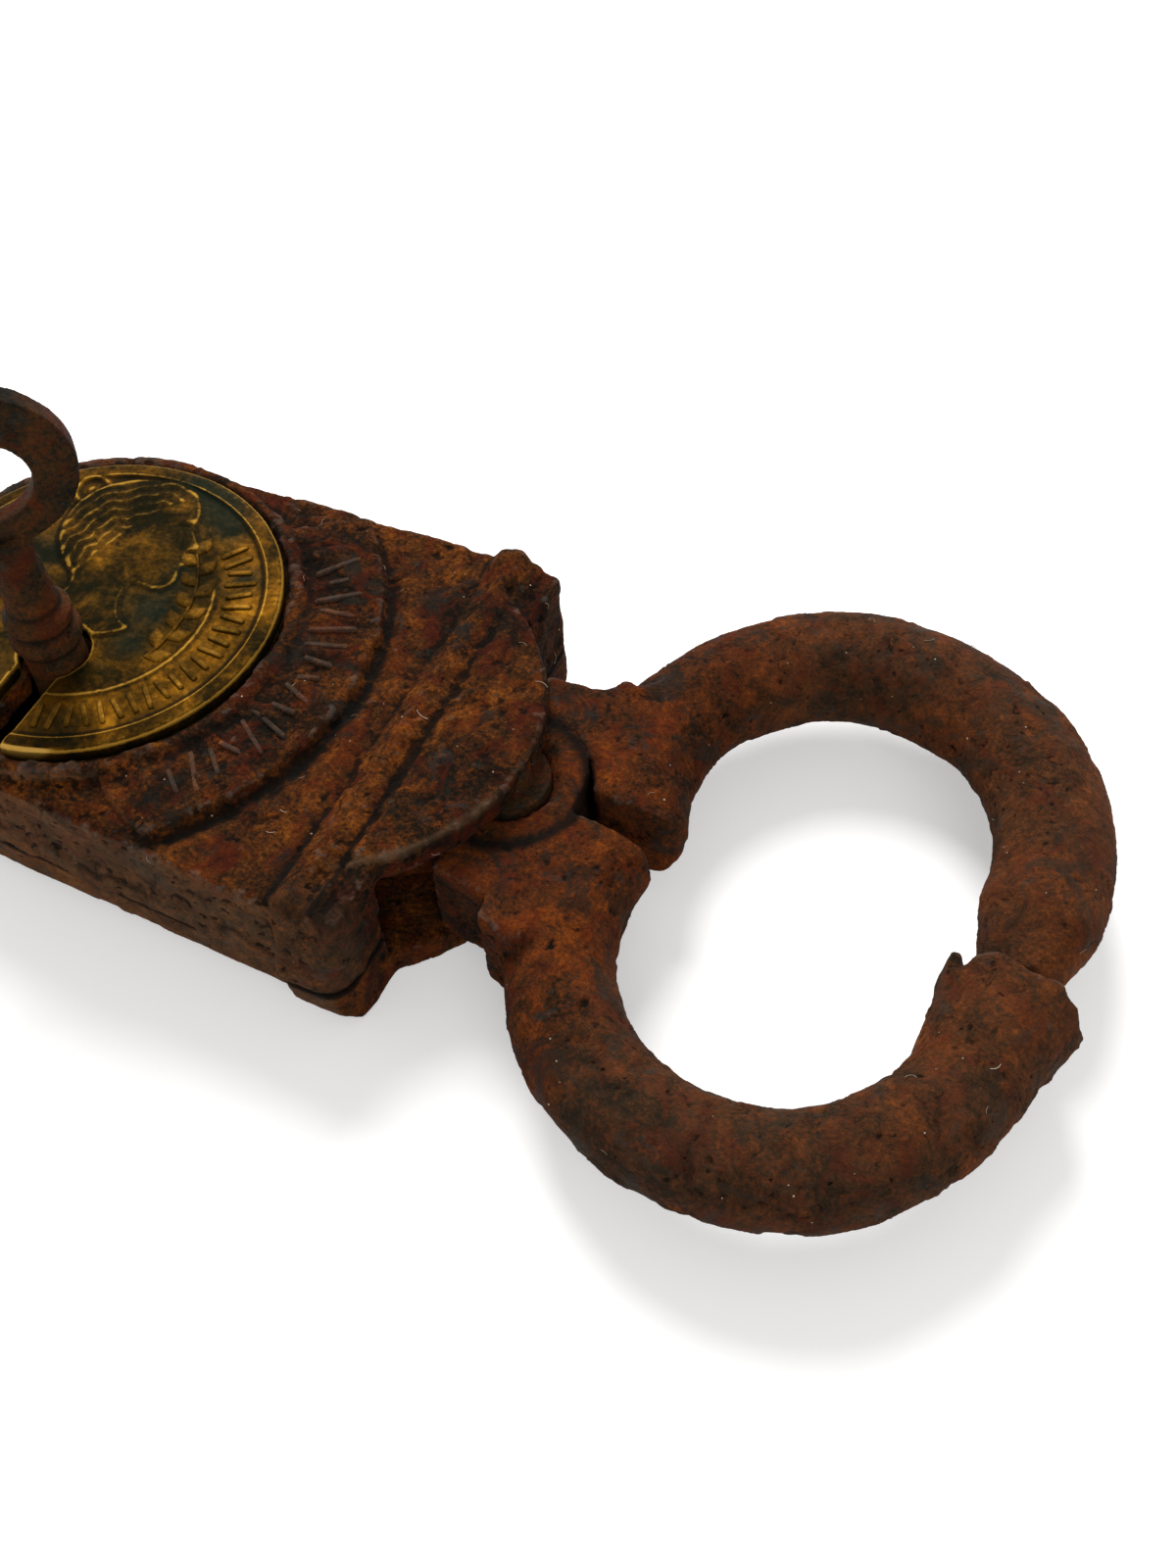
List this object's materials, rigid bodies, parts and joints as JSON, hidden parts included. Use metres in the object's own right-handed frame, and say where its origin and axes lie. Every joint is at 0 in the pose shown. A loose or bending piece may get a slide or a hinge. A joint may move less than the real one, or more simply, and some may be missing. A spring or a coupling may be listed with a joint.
{
  "type": "padlock",
  "caption": "Rusted padlock with a round brass disc, a key standing in its off-centre keyhole and hinged jaws that close into a ring.",
  "frame": {"origin": "on the flat back face, below the centre of the brass disc", "axes": "+Z out of the front face with the brass disc; +X from the disc towards the ring of jaws; +Y across the lock, away from the keyhole"},
  "size_m": [0.13, 0.0695, 0.0537],
  "materials": {
    "case_iron": "rough rust",
    "jaw_iron": "rough rust",
    "key_iron": "rough rust",
    "old_brass": "tarnished",
    "lock_steel": "rusted"
  },
  "bodies": {
    "case": {"front_case": "case_iron", "back_case": "case_iron", "case_screws": "case_iron", "brass_disc": "old_brass", "disc_studs": "old_brass", "pivot_pin": "lock_steel", "bolt_guide_pin": "lock_steel", "bolt_spring": "lock_steel", "bolt_spring_rod": "lock_steel", "jaw_spring": "lock_steel", "jaw_spring_post": "lock_steel", "lock_plate": "lock_steel", "plate_screws": "lock_steel", "ward_ring": "lock_steel"},
    "key": {"key": "key_iron"},
    "upper_jaw": {"upper_jaw": "jaw_iron"},
    "lower_jaw": {"lower_jaw": "jaw_iron"},
    "bolt": {"bolt": "lock_steel"}
  },
  "joints": [
    {"name": "upper_jaw_hinge", "type": "hinge", "parent": "case", "child": "upper_jaw", "pos_m": [0.048, 0, 0], "axis": [0, 0, 1], "range_deg": [0, 15], "deforming": ["jaw_spring"]},
    {"name": "lower_jaw_hinge", "type": "hinge", "parent": "case", "child": "lower_jaw", "pos_m": [0.048, 0, 0], "axis": [0, 0, -1], "range_deg": [0, 15]},
    {"name": "bolt_slide", "type": "slide", "parent": "case", "child": "bolt", "axis": [-1, 0, 0], "range_m": [0, 0.0116], "deforming": ["bolt_spring"]},
    {"name": "key_turn", "type": "hinge", "parent": "case", "child": "key", "pos_m": [0.0006, -0.0073, 0], "axis": [0, 0, 1], "range_deg": [0, 84]}
  ],
  "couplings": [
    {"joint": "lower_jaw_hinge", "follows": "upper_jaw_hinge", "ratio": 1},
    {"joint": "bolt_slide", "follows": "upper_jaw_hinge", "m_per_rad": 0.0443},
    {"joint": "key_turn", "follows": "upper_jaw_hinge", "ratio": 5.6}
  ]
}
